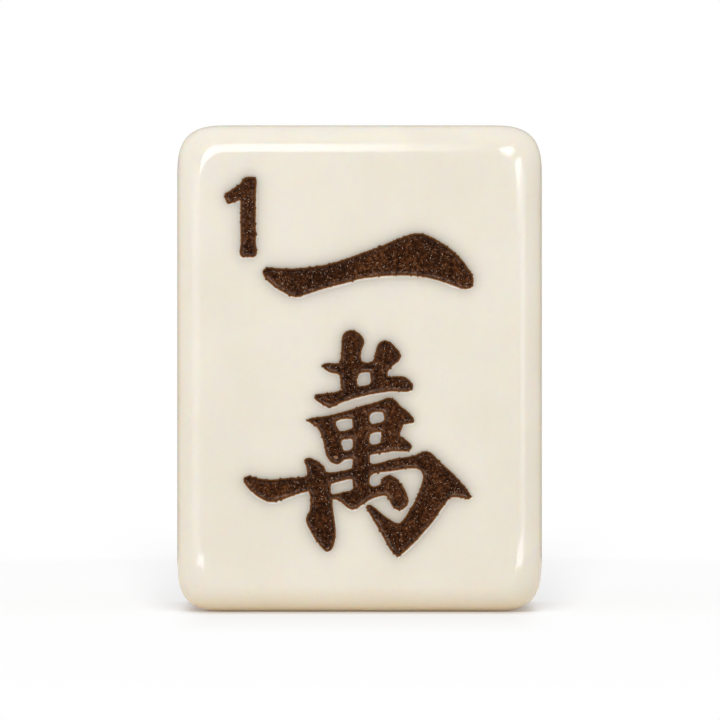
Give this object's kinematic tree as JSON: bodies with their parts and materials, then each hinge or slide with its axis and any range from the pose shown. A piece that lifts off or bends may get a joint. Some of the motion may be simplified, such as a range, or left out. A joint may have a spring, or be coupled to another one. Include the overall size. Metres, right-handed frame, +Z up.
{
  "type": "mahjong tile",
  "caption": "Upright mahjong tile: a bone face slab with engraved, pigment-filled marks, dovetailed into a bamboo back.",
  "frame": {"origin": "middle of the lower end, on the surface that the tile stands on", "axes": "+Z up along the tile's height, +X to the right seen from the front, the marked face looks to -Y"},
  "size_m": [0.03, 0.022, 0.04],
  "materials": {
    "bone": "polished bone or bone-coloured resin, warm ivory",
    "bamboo": "oiled and polished bamboo, fibres along the height",
    "pigment": "dried dark brown pigment, granular"
  },
  "bodies": {
    "root": {"face_slab": "bone", "back_slab": "bamboo", "numeral_fill": "pigment", "stroke_fill": "pigment", "crown_fill": "pigment", "character_fill": "pigment"}
  },
  "joints": []
}
